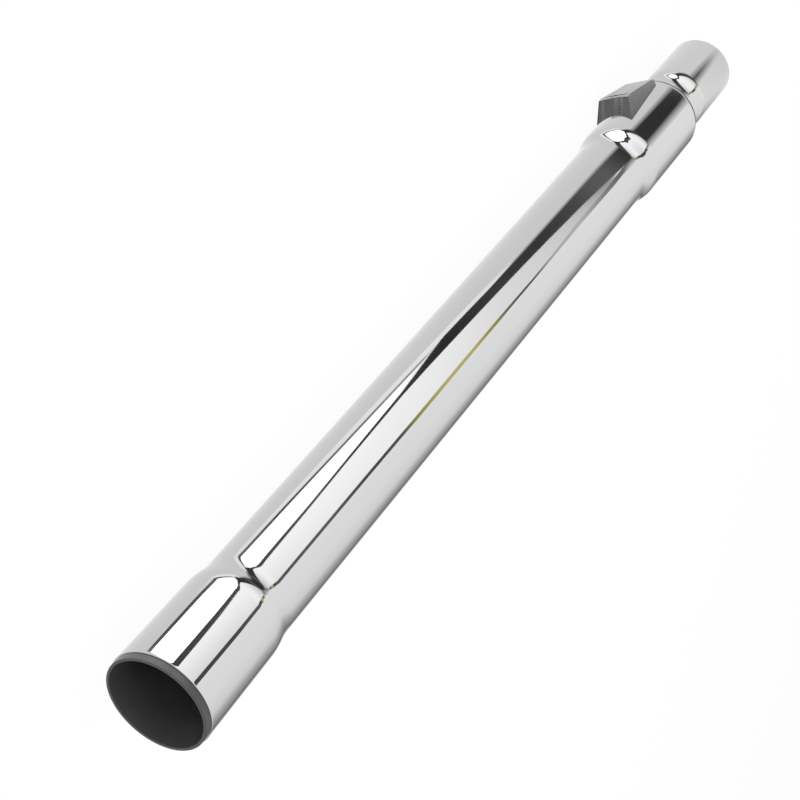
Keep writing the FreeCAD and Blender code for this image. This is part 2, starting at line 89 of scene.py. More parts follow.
class Finish:
    def __init__(self, owner):
        owner.use_nodes = True
        self.owner = owner
        self.tree = owner.node_tree
        self.tree.nodes.clear()

    # type, settings set first, then sockets by name or number
    def node(self, kind, settings=None, sockets=None, output=0):
        made = self.tree.nodes.new("ShaderNode" + kind)
        for name, value in (settings or {}).items():
            if name == "stops":
                ramp = made.color_ramp
                while len(ramp.elements) < len(value):
                    ramp.elements.new(0.5)
                for element, (place, level) in zip(ramp.elements, value):
                    element.position = place
                    element.color = level if isinstance(level, tuple) else (level, level, level, 1)
            else:
                setattr(made, name, value)
        for name, value in (sockets or {}).items():
            if isinstance(value, Value):
                self.tree.links.new(value.socket, made.inputs[name])
            else:
                made.inputs[name].default_value = value
        return Value(self.tree, made.outputs[output]) if made.outputs else None


def newFinish(name):
    return Finish(bpy.data.materials.new(name))


# modelling by hand
def clearSelection():
    if bpy.context.object and bpy.context.object.mode != "OBJECT":
        bpy.ops.object.mode_set(mode="OBJECT")
    bpy.ops.object.select_all(action="DESELECT")


def pick(piece):
    clearSelection()
    piece.select_set(True)
    bpy.context.view_layer.objects.active = piece


# a chain of edges through points in mm, from the vertices that are selected
def drawChain(points):
    bpy.ops.mesh.merge(type="CENTER")
    bpy.ops.transform.translate(value=Vector(points[0]) * mm)
    for before, after in zip(points, points[1:]):
        step = (Vector(after) - Vector(before)) * mm
        bpy.ops.mesh.extrude_region_move(TRANSFORM_OT_translate={"value": step})


# a new piece with one chain, left in edit mode
def chain(name, points):
    clearSelection()
    bpy.ops.mesh.primitive_plane_add(size=mm, location=(0, 0, 0))
    piece = bpy.context.object
    piece.name = name
    piece.data.name = name
    bpy.ops.object.mode_set(mode="EDIT")
    bpy.ops.mesh.select_all(action="SELECT")
    drawChain(points)
    return piece


# one more chain in the piece that is being edited
def addChain(points):
    bpy.ops.mesh.primitive_plane_add(size=mm, location=(0, 0, 0))
    drawChain(points)


# a closed outline of (along, radius) turned about the wand's axis
def spun(name, outline):
    points = [(along, 0, radius) for along, radius in outline]
    piece = chain(name, points + points[:1])
    bpy.ops.mesh.select_all(action="SELECT")
    bpy.ops.mesh.spin(steps=columns, angle=2 * math.pi, center=(0, 0, 0), axis=(1, 0, 0))
    bpy.ops.mesh.select_all(action="SELECT")
    bpy.ops.mesh.remove_doubles(threshold=mergeDistance)
    bpy.ops.mesh.normals_make_consistent(inside=False)
    bpy.ops.object.mode_set(mode="OBJECT")
    return piece


# a flat outline pushed out along one way
def slab(name, outline, way):
    piece = chain(name, outline)
    bpy.ops.mesh.select_all(action="SELECT")
    bpy.ops.mesh.edge_face_add()
    bpy.ops.mesh.extrude_region_move(TRANSFORM_OT_translate={"value": Vector(way) * mm})
    bpy.ops.mesh.select_all(action="SELECT")
    bpy.ops.mesh.normals_make_consistent(inside=False)
    bpy.ops.object.mode_set(mode="OBJECT")
    return piece


def rod(name, radius, length, middle, turn):
    clearSelection()
    place = Vector(middle) * mm
    bpy.ops.mesh.primitive_cylinder_add(
        vertices=rodFaces, radius=radius * mm, depth=length * mm, location=place, rotation=turn)
    piece = bpy.context.object
    piece.name = name
    bpy.ops.object.transform_apply(location=True, rotation=True, scale=True)
    return piece


def carve(piece, cutter, operation="DIFFERENCE"):
    modifier = piece.modifiers.new("carve", "BOOLEAN")
    modifier.operation = operation
    modifier.solver = "EXACT"
    modifier.object = cutter
    pick(piece)
    bpy.ops.object.modifier_apply(modifier=modifier.name)
    bpy.data.objects.remove(cutter)


# two tangent curves between two points of an outline, ends included
def swage(start, stop, divisions):
    points = []
    for step in range(divisions + 1):
        share = step / divisions
        rise = 2 * share ** 2 if share < 0.5 else 1 - 2 * (1 - share) ** 2
        points.append((start[0] + (stop[0] - start[0]) * share, start[1] + (stop[1] - start[1]) * rise))
    return points


# a quarter round between two points, bulging towards the corner
def lip(start, corner, stop, divisions=5):
    points = []
    for step in range(divisions + 1):
        share = step / divisions
        points.append(tuple(
            (1 - share) ** 2 * a + 2 * share * (1 - share) * b + share ** 2 * c
            for a, b, c in zip(start, corner, stop)))
    return points


# a finished piece: laid as the wand lies, given its finish and tied to its body
def dress(piece, finish, body, slot, *nodes):
    piece.rotation_euler = (rollAngle, 0, 0)
    pick(piece)
    bpy.ops.object.transform_apply(location=True, rotation=True, scale=True)
    bpy.ops.object.shade_smooth_by_angle(angle=smoothAngle)
    piece.data.materials.clear()
    piece.data.materials.append(finish.owner)
    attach(piece, body)
    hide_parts(*nodes)
    print("piece", piece.name, len(piece.data.polygons), "faces")


# finishes
generatedCoords, normalCoords, objectCoords = 0, 1, 3  # outputs of Texture Coordinate
acrossAxis = (0, 1, 1)  # leaves out what lies along the wand
white = (1, 1, 1, 1)

chromeLook = {
    "colour": (0.556, 0.558, 0.563, 1), "rough": 0.035, "haze": 0.03, "hazeScale": 60, "hazeMiddle": 0.4,
    "ripple": 0.012, "rippleScale": 25, "rippleDepth": 0.001, "stretch": (0.12, 1, 1),
    "boreRough": 0.5, "boreFrom": -0.002, "boreFull": -0.008,
}


# polished outside, and dull where a wall faces the wand's axis
def chromeFinish():
    look = chromeLook
    finish = newFinish("brightChrome")
    place = finish.node("TexCoord", output=objectCoords)
    facing = finish.node("TexCoord", output=normalCoords)
    around = finish.node("VectorMath", {"operation": "MULTIPLY"}, {0: place, 1: acrossAxis})
    outward = finish.node("VectorMath", {"operation": "DOT_PRODUCT"}, {0: around, 1: facing}, 1)
    bore = finish.node("MapRange", None, {0: outward, 1: look["boreFrom"], 2: look["boreFull"]})
    stretched = finish.node("Mapping", None, {"Vector": place, "Scale": look["stretch"]})
    haze = finish.node("TexNoise", None, {"Vector": stretched, "Scale": look["hazeScale"], "Detail": 4})
    ripple = finish.node("TexNoise", None, {"Vector": stretched, "Scale": look["rippleScale"], "Detail": 1})
    bump = finish.node("Bump", None, {"Strength": look["ripple"], "Distance": look["rippleDepth"], "Height": ripple})
    shader = finish.node("BsdfPrincipled", None, {
        "Base Color": look["colour"], "Metallic": 1.0,
        "Roughness": look["rough"] + look["haze"] * (haze - look["hazeMiddle"]) + look["boreRough"] * bore,
        "Normal": bump})
    finish.node("OutputMaterial", None, {"Surface": shader})
    return finish


plasticSheen = {"cloudScale": 90, "cloudRough": 0.08, "toneFrom": 0.3, "toneTo": 0.7, "grainDepth": 0.0001}


# moulded plastic: fine spark texture, slightly uneven sheen
def plasticFinish(name, look):
    sheen = plasticSheen
    finish = newFinish(name)
    place = finish.node("TexCoord", output=objectCoords)
    grain = finish.node("TexNoise", None, {"Vector": place, "Scale": look["grainScale"], "Detail": 2})
    cloud = finish.node("TexNoise", None, {"Vector": place, "Scale": sheen["cloudScale"], "Detail": 3})
    stops = [(sheen["toneFrom"], look["low"]), (sheen["toneTo"], look["high"])]
    tone = finish.node("ValToRGB", {"stops": stops}, {"Fac": cloud})
    bump = finish.node("Bump", None, {"Strength": look["grain"], "Distance": sheen["grainDepth"], "Height": grain})
    shader = finish.node("BsdfPrincipled", None, {
        "Base Color": tone, "Roughness": look["rough"] + sheen["cloudRough"] * (cloud - 0.5), "Normal": bump})
    finish.node("OutputMaterial", None, {"Surface": shader})
    return finish


metalGrain = {"scale": 900, "strength": 0.15, "depth": 0.0001, "rough": 0.12}


# bare metal with a fine even grain
def metalFinish(name, look):
    finish = newFinish(name)
    place = finish.node("TexCoord", output=objectCoords)
    grain = finish.node("TexNoise", None, {"Vector": place, "Scale": metalGrain["scale"], "Detail": 3})
    bump = finish.node("Bump", None, {
        "Strength": metalGrain["strength"], "Distance": metalGrain["depth"], "Height": grain})
    shader = finish.node("BsdfPrincipled", None, {
        "Base Color": look["colour"], "Metallic": 1.0,
        "Roughness": look["rough"] + metalGrain["rough"] * (grain - 0.5), "Normal": bump})
    finish.node("OutputMaterial", None, {"Surface": shader})
    return finish


feltLook = {
    "low": (0.2, 0.2, 0.2, 1), "high": (0.38, 0.38, 0.37, 1), "toneFrom": 0.35, "toneTo": 0.65,
    "fibreScale": 1800, "fibreRough": 0.7, "fibre": 0.6, "fibreDepth": 0.0002, "rough": 0.95,
}


def feltFinish():
    look = feltLook
    finish = newFinish("pressedFelt")
    place = finish.node("TexCoord", output=objectCoords)
    fibre = finish.node("TexNoise", None, {
        "Vector": place, "Scale": look["fibreScale"], "Detail": 6, "Roughness": look["fibreRough"]})
    stops = [(look["toneFrom"], look["low"]), (look["toneTo"], look["high"])]
    tone = finish.node("ValToRGB", {"stops": stops}, {"Fac": fibre})
    bump = finish.node("Bump", None, {"Strength": look["fibre"], "Distance": look["fibreDepth"], "Height": fibre})
    shader = finish.node("BsdfPrincipled", None, {"Base Color": tone, "Roughness": look["rough"], "Normal": bump})
    finish.node("OutputMaterial", None, {"Surface": shader})
    return finish


blackLook = {"low": (0.03, 0.03, 0.031, 1), "high": (0.038, 0.038, 0.039, 1), "rough": 0.36, "grain": 0.12,
             "grainScale": 3500}
greyLook = {"low": (0.053, 0.053, 0.054, 1), "high": (0.061, 0.061, 0.062, 1), "rough": 0.34, "grain": 0.02,
            "grainScale": 2600}
naturalLook = {"low": (0.7, 0.69, 0.65, 1), "high": (0.77, 0.76, 0.72, 1), "rough": 0.45, "grain": 0.1,
               "grainScale": 2600}
steelLook = {"colour": (0.6, 0.6, 0.6, 1), "rough": 0.25}
zincLook = {"colour": (0.55, 0.55, 0.56, 1), "rough": 0.42}

chrome = chromeFinish()
blackPlastic = plasticFinish("blackSatin", blackLook)
greyPlastic = plasticFinish("darkGreySatin", greyLook)
naturalPlastic = plasticFinish("naturalPlastic", naturalLook)
springSteel = metalFinish("plainSteel", steelLook)
zincCasting = metalFinish("zincCasting", zincLook)
felt = feltFinish()
nodeFinishes = {
    "guide_sleeve": blackPlastic, "lock_slider": zincCasting, "locking_roller": springSteel,
    "tail_bush": naturalPlastic, "tail_seal": felt,
}
for nodeName, nodeFinish in nodeFinishes.items():
    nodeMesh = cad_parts[nodeName].data
    nodeMesh.materials.clear()
    nodeMesh.materials.append(nodeFinish.owner)
print("finishes made")

# outer tube: socket, plain stretch and collar drawn from one tube
outerTube = {
    "mouth": (2.9, 19.5), "socketEnd": (42, 19), "tubeStart": (56, 17.5), "tubeEnd": (372, 17.5),
    "collarStart": (386, 19.5), "collarEnd": (435.5, 19.5), "wall": 0.8, "lip": 0.3, "hold": 0.6,
    "taperDrops": (0.004, 0.012), "taperRise": 0.008,  # the socket's taper, near its two ends
    "slot": (400.1, 430.7), "slotHalf": 4.7, "slotFloor": 15, "slotRise": 8,
}


def makeOuterTube():
    part = outerTube
    mouth, socketEnd, tubeStart = part["mouth"], part["socketEnd"], part["tubeStart"]
    tubeEnd, collarStart, end = part["tubeEnd"], part["collarStart"], part["collarEnd"]
    hold, edge, thin, drops = part["hold"], part["lip"], part["wall"], part["taperDrops"]
    outside = lip((mouth[0], mouth[1] - edge), mouth, (mouth[0] + edge, mouth[1] - drops[0]))
    outside.append((mouth[0] + edge + hold, mouth[1] - drops[1]))
    outside.append((socketEnd[0] - hold, socketEnd[1] + part["taperRise"]))
    outside += swage(socketEnd, tubeStart, swageFine)
    outside += [(tubeStart[0] + hold, tubeStart[1]), (tubeEnd[0] - hold, tubeEnd[1])]
    outside += swage(tubeEnd, collarStart, swageFine)
    outside += [(collarStart[0] + hold, collarStart[1]), (end[0] - edge - hold, end[1])]
    outside += lip((end[0] - edge, end[1]), end, (end[0], end[1] - edge))
    inside = [(end[0], end[1] - thin)]
    inside += swage((collarStart[0], end[1] - thin), (tubeEnd[0], tubeEnd[1] - thin), swageCoarse)
    inside += swage((tubeStart[0], tubeStart[1] - thin), (socketEnd[0], socketEnd[1] - thin), swageCoarse)
    inside.append((mouth[0], mouth[1] - thin))
    piece = spun("outerTube", outside + inside)
    start, stop = part["slot"]
    half, low = part["slotHalf"], part["slotFloor"]
    plan = [(start, -half, low), (stop, -half, low), (stop, half, low), (start, half, low)]
    carve(piece, slab("slotCutter", plan, (0, 0, part["slotRise"])))
    dress(piece, chrome, "outer", "chrome", "outer_tube")


makeOuterTube()

# socket ring: black sleeve in the socket, its rim stands out of the mouth
socketRing = {
    "rim": 19.1, "proud": 2.9, "round": 0.25, "mouth": 18.0, "bore": 16.2, "flare": 10.0, "end": 40.0,
    "seat": 18.64, "seatEnd": 18.166, "flareHalf": 1.0, "flareRise": 0.18, "tuck": 0.2, "roundSteps": 6,
}


def makeSocketRing():
    part = socketRing
    edge, rim, bore, mouth = part["round"], part["rim"], part["bore"], part["mouth"]
    flare, half, steps = part["flare"], part["flareHalf"], part["roundSteps"]
    outline = lip((0, rim - edge), (0, rim), (edge, rim), steps)
    outline += [(part["proud"], rim), (part["proud"], part["seat"]), (part["end"], part["seatEnd"])]
    outline += [(part["end"], bore), (flare + 2 * half, bore)]
    outline += lip((flare + half, bore), (flare, bore), (flare - half, bore + part["flareRise"]), steps)
    outline += lip((edge, mouth - edge * part["tuck"]), (0, mouth), (0, mouth + edge), steps)
    piece = spun("socketRing", outline)
    dress(piece, blackPlastic, "outer", "black_plastic", "socket_liner")


makeSocketRing()

# inner tube: detents on the button's side, a guide flute opposite, and the spigot at its end
innerTube = {
    "tail": 58.0, "radius": 15.0, "wall": 0.8, "neckEnd": 445.5, "spigotStart": 457.0, "spigot": 16.25,
    "tip": 493.2, "lip": 0.3, "hold": 0.6,
    "detentFirst": 409.2, "detentPitch": 26.0, "detentCount": 13, "detentRadius": 1.75, "detentDepth": 1.3,
    "detentHalf": 4.7, "detentReach": 0.5, "detentFade": 0.4,
    "detentRings": (-1.5, -1.02, -0.94, -0.75, -0.5, -0.25, 0, 0.25, 0.5, 0.75, 0.94, 1.02, 1.5),
    "fluteEnd": 408.0, "fluteRadius": 2.0, "fluteDepth": 1.0,
    "fluteRings": [406.5, 407.2, 407.9, 408.5, 409, 409.4, 409.75],
}


# how far a place on the wall is pressed towards the axis
def pressIn(along, across, up):
    part = innerTube
    drop = 0.0
    if up > 0 and abs(across) < part["detentHalf"] + part["detentReach"]:
        steps = round((part["detentFirst"] - along) / part["detentPitch"])
        steps = min(max(steps, 0), part["detentCount"] - 1)
        away = along - part["detentFirst"] + steps * part["detentPitch"]
        if abs(away) < part["detentRadius"]:
            centre = part["radius"] - part["detentDepth"] + part["detentRadius"]
            floorLevel = centre - math.sqrt(part["detentRadius"] ** 2 - away ** 2)
            fade = part["detentFade"]
            share = min(max((part["detentHalf"] + fade - abs(across)) / (2 * fade), 0), 1)
            drop = -max(up - floorLevel, 0) * share * share * (3 - 2 * share)
    past = max(along - part["fluteEnd"], 0)
    spread = part["fluteRadius"] ** 2 - across ** 2 - past ** 2
    if up < 0 and spread > 0:
        centre = -(part["radius"] - part["fluteDepth"] + part["fluteRadius"])
        drop = max(centre + math.sqrt(spread) - up, 0)
    return drop


def makeInnerTube():
    part = innerTube
    radius, thin, edge, hold = part["radius"], part["wall"], part["lip"], part["hold"]
    rings = [part["tail"]]
    reach = part["detentRadius"]
    for step in reversed(range(part["detentCount"])):
        middle = part["detentFirst"] - step * part["detentPitch"]
        rings += [middle + reach * share for share in part["detentRings"]]
    rings = sorted(set(rings + part["fluteRings"]))
    rings.append(part["neckEnd"] - hold)
    outside = [(ring, radius) for ring in rings]
    outside += swage((part["neckEnd"], radius), (part["spigotStart"], part["spigot"]), swageFine)
    outside += [(part["spigotStart"] + hold, part["spigot"]), (part["tip"] - edge - hold, part["spigot"])]
    outside += lip((part["tip"] - edge, part["spigot"]), (part["tip"], part["spigot"]),
                   (part["tip"], part["spigot"] - edge))
    inside = [(part["tip"], part["spigot"] - thin)]
    inside += swage((part["spigotStart"], part["spigot"] - thin), (part["neckEnd"], radius - thin), swageCoarse)
    inside += [(ring, radius - thin) for ring in reversed(rings)]
    piece = spun("innerTube", outside + inside)
    for vertex in piece.data.vertices:
        along, across, up = (value / mm for value in vertex.co)
        distance = math.hypot(across, up)
        if along < part["neckEnd"] and distance > 0:
            outer = radius / distance  # the wall moves as one
            vertex.co.z += pressIn(along, across * outer, up * outer) * mm
    dress(piece, chrome, "inner", "chrome", "inner_tube")


makeInnerTube()

# slide button: scooped front, narrow crest, long top that falls to a round tail
slideButton = {
    "front": 393.9, "halfFront": 9.3, "tailMiddle": 429.3, "tailRadius": 7.2, "base": 17.3, "draft": 6.5,
    "side": [(393.9, 17.3), (436.5, 17.3), (436.5, 19.8), (428.1, 22.6), (403.6, 26.7), (400.3, 26.7)],
    "top": 26.7, "lean": 6.4, "scoopRadius": 26.0, "scoopDepth": 1.0, "room": 19.6,
    "cavity": [(400.25, 17.0), (431, 17.0), (431, 20.616), (402, 24.15), (400.25, 22.3)], "cavityHalf": 5.9,
    "edge": 0.3, "edgeSteps": 3, "edgeAngle": 28, "flatAngle": 0.3, "merge": 0.01,
    "crestEnd": 403.6, "nailRun": 2.0, "nailHalf": 7.3, "nailDepth": 1.2, "nailRise": 3, "nailSteps": 32,
    "rise": 12.0, "planSteps": 48, "formHalf": 14, "scoopLength": 90, "roomLength": 60, "roomMiddle": 415,
}


# outline from above, drawn in by the draft of its sides
def buttonPlan(inset):
    part = slideButton
    steps = part["planSteps"]
    middle, tail = part["tailMiddle"], part["tailRadius"] - inset
    run = middle - part["front"]
    slope = math.atan((part["halfFront"] - part["tailRadius"]) / run)
    half = part["halfFront"] - inset / math.cos(slope)
    points = [(part["front"], -half)]
    for step in range(steps + 1):
        angle = -math.pi / 2 + slope + (math.pi - 2 * slope) * step / steps
        points.append((middle + tail * math.cos(angle), tail * math.sin(angle)))
    points.append((part["front"], half))
    return points


# crescent behind the crest, straight in front and bowed at the back
def nailOutline():
    part = slideButton
    run, half, steps = part["nailRun"], part["nailHalf"], part["nailSteps"]
    radius = (half ** 2 + run ** 2) / (2 * run)
    spread = math.asin(half / radius)
    points = []
    for step in range(steps + 1):
        angle = -spread + 2 * spread * step / steps
        points.append((part["crestEnd"] + run - radius * (1 - math.cos(angle)), radius * math.sin(angle),
                       part["top"] - part["nailDepth"]))
    return points


def makeButton():
    part = slideButton
    rise = part["rise"]
    low = buttonPlan(0)
    high = buttonPlan(rise * math.tan(math.radians(part["draft"])))
    piece = slab("slideButton", [(x, y, part["base"]) for x, y in low], (0, 0, rise))
    lifted = {(round(x, 3), round(y, 3)): spot for (x, y), spot in zip(low, high)}
    for vertex in piece.data.vertices:
        if vertex.co.z > (part["base"] + rise / 2) * mm:
            spot = lifted[(round(vertex.co.x / mm, 3), round(vertex.co.y / mm, 3))]
            vertex.co.x, vertex.co.y = spot[0] * mm, spot[1] * mm
    half = part["formHalf"]
    carve(piece, slab("sideForm", [(x, -half, z) for x, z in part["side"]], (0, 2 * half, 0)), "INTERSECT")
    lean = math.atan(part["lean"] / (part["top"] - part["base"]))
    ahead = part["front"] + (part["scoopDepth"] - part["scoopRadius"]) / math.cos(lean)
    carve(piece, rod("scoop", part["scoopRadius"], part["scoopLength"], (ahead, 0, part["base"]), (0, lean, 0)))
    middle = (part["roomMiddle"], 0, 0)
    carve(piece, rod("collarRoom", part["room"], part["roomLength"], middle, (0, math.pi / 2, 0)))
    half = part["cavityHalf"]
    carve(piece, slab("cavity", [(x, -half, z) for x, z in part["cavity"]], (0, 2 * half, 0)))
    carve(piece, slab("nailRecess", nailOutline(), (0, 0, part["nailRise"])))
    pick(piece)
    bpy.ops.object.mode_set(mode="EDIT")
    bpy.ops.mesh.select_all(action="SELECT")
    bpy.ops.mesh.remove_doubles(threshold=part["merge"] * mm)
    bpy.ops.mesh.dissolve_limited(angle_limit=math.radians(part["flatAngle"]))
    bpy.ops.object.mode_set(mode="OBJECT")
    bevel = piece.modifiers.new("softEdges", "BEVEL")
    bevel.width = part["edge"] * mm
    bevel.segments = part["edgeSteps"]
    bevel.limit_method = "ANGLE"
    bevel.angle_limit = math.radians(part["edgeAngle"])
    pick(piece)
    bpy.ops.object.modifier_apply(modifier=bevel.name)
    dress(piece, greyPlastic, "slider", "grey_plastic", "slide_button")
    piece.visible_glossy = False  # its mirror image in the collar would be too dark


makeButton()

# return springs, which the button shortens as it is pushed; made here at rest length, held at the sleeve's lug
returnSpring = {
    "start": 412.25, "length": 15.0, "outer": 1.47, "wire": 0.21, "turns": 6, "aside": 2.2, "level": 18.65,
    "held": 427.25, "travel": 5.0, "pointsPerTurn": 24, "wireRound": 6,
}


def makeSpring(name, aside, node):
    part = returnSpring
    coil, run = part["outer"] - part["wire"], part["length"] - 2 * part["wire"]
    count = part["turns"] * part["pointsPerTurn"]
    points = []
    for step in range(count + 1):
        angle = 2 * math.pi * step / part["pointsPerTurn"]
        points.append((part["start"] + part["wire"] + run * step / count, aside + coil * math.sin(angle),
                       part["level"] + coil * math.cos(angle)))
    chain(name, points)
    bpy.ops.object.mode_set(mode="OBJECT")
    bpy.ops.object.convert(target="CURVE")
    piece = bpy.context.object
    piece.data.bevel_depth = part["wire"] * mm
    piece.data.bevel_resolution = part["wireRound"]
    piece.data.use_fill_caps = True
    bpy.ops.object.convert(target="MESH")
    piece = bpy.context.object
    bpy.ops.object.mode_set(mode="EDIT")
    bpy.ops.mesh.select_all(action="SELECT")
    bpy.ops.mesh.remove_doubles(threshold=mergeDistance)
    bpy.ops.mesh.normals_make_consistent(inside=False)
    bpy.ops.object.mode_set(mode="OBJECT")
    dress(piece, springSteel, "outer", "spring_steel", node)
    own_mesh(piece)


makeSpring("springLeft", returnSpring["aside"], "return_spring_left")
makeSpring("springRight", -returnSpring["aside"], "return_spring_right")
print("pieces made")

# camera at the photograph's place, and the stage around the wand
viewpoint = {
    "place": (-311.485, 445.279, 215.908), "aim": (209.812, -30.171, -20.452), "roll": 111.7226, "lens": 80.778,
    "sensor": 36, "clip": (0.01, 200),
}
stageLook = {
    "floorLevel": -19.5, "floorSize": 60, "floorColour": (0.9, 0.9, 0.9, 1), "glow": 0.95, "ambient": 0.7,
    "sky": 1.3, "sideBlend": 0.08,
}


# kinds of ray, each 1 or 0
def rayKinds(finish, *names):
    outputs = finish.node("LightPath").socket.node.outputs
    return [Value(finish.tree, outputs[name]) for name in names]


# floor: white with a trace of shadow, left out of mirror images
def makeFloor():
    clearSelection()
    bpy.ops.mesh.primitive_plane_add(size=stageLook["floorSize"], location=(0, 0, stageLook["floorLevel"] * mm))
    floor = bpy.context.object
    floor.name = "floor"
    finish = newFinish("paleFloor")
    seen, through = rayKinds(finish, "Is Camera Ray", "Is Transmission Ray")
    plain = finish.node("BsdfDiffuse", None, {"Color": stageLook["floorColour"]})
    glow = finish.node("Emission", None, {"Color": white, "Strength": 1.0})
    mixed = finish.node("MixShader", None, {0: stageLook["glow"] * seen + through, 1: plain, 2: glow})
    finish.node("OutputMaterial", None, {"Surface": mixed})
    floor.data.materials.append(finish.owner)
    floor.visible_glossy = False
    floor.visible_shadow = False


makeFloor()

# brightness of the room in the chrome, by height round the wand, on either side of it
farSide = [(-1, 1.0), (-0.38, 1.0), (-0.28, 0.75), (-0.13, 0.45), (0, 0.26), (0.13, 0.22), (0.25, 0.37),
           (0.39, 0.48), (0.53, 0.64), (0.69, 0.93), (0.76, 1.05), (0.91, 1.14), (1, 1.22)]
nearSide = [(-1, 1.0), (0, 1.0), (0.15, 1.2), (0.89, 1.26), (1, 1.22)]


def makeSurround():
    world = bpy.data.worlds.new("surround")
    bpy.context.scene.world = world
    finish = Finish(world)
    seen, mirrored = rayKinds(finish, "Is Camera Ray", "Is Glossy Ray")
    place = finish.node("TexCoord", output=generatedCoords)
    flat = finish.node("VectorMath", {"operation": "MULTIPLY"}, {0: place, 1: acrossAxis})
    way = finish.node("VectorMath", {"operation": "NORMALIZE"}, {0: flat})
    height = finish.node("SeparateXYZ", None, {"Vector": way}, 2)
    across = finish.node("SeparateXYZ", None, {"Vector": way}, 1)
    side = finish.node("MapRange", None, {0: across, 1: -stageLook["sideBlend"], 2: stageLook["sideBlend"]})
    halves = []
    for levels in (farSide, nearSide):
        stops = [((spot + 1) / 2, level / stageLook["sky"]) for spot, level in levels]
        tone = finish.node("ValToRGB", {"stops": stops}, {"Fac": height * 0.5 + 0.5})
        halves.append(finish.node("Background", None, {"Color": tone, "Strength": stageLook["sky"]}))
    ambient = finish.node("Background", None, {"Color": white, "Strength": stageLook["ambient"]})
    backdrop = finish.node("Background", None, {"Color": white, "Strength": 1.0})
    sky = finish.node("MixShader", None, {0: side, 1: halves[0], 2: halves[1]})
    first = finish.node("MixShader", None, {0: mirrored, 1: ambient, 2: sky})
    second = finish.node("MixShader", None, {0: seen, 1: first, 2: backdrop})
    finish.node("OutputWorld", None, {"Surface": second})


makeSurround()

nearTurn = 0.9  # degrees from the camera's side of the wand to where turns are counted from
mirrorRadii = [  # the wand's radius, up to a place along it
    (380, outerTube["tubeEnd"][1]), (440, outerTube["collarEnd"][1]), (math.inf, innerTube["spigot"]),
]
cardCuts = 5  # lines between the two edges of a card


# point that the camera sees mirrored at a place on the tube: along it, then degrees round from its near side
def mirrorPoint(along, turn, reach):
    eye = Vector(viewpoint["place"])
    angle = math.atan2(eye.z, eye.y) - math.radians(turn + nearTurn)
    normal = Vector((0, math.cos(angle), math.sin(angle)))
    radius = next(size for limit, size in mirrorRadii if along < limit)
    spot = Vector((along, 0, 0)) + normal * radius
    return spot + (spot - eye).normalized().reflect(normal) * reach


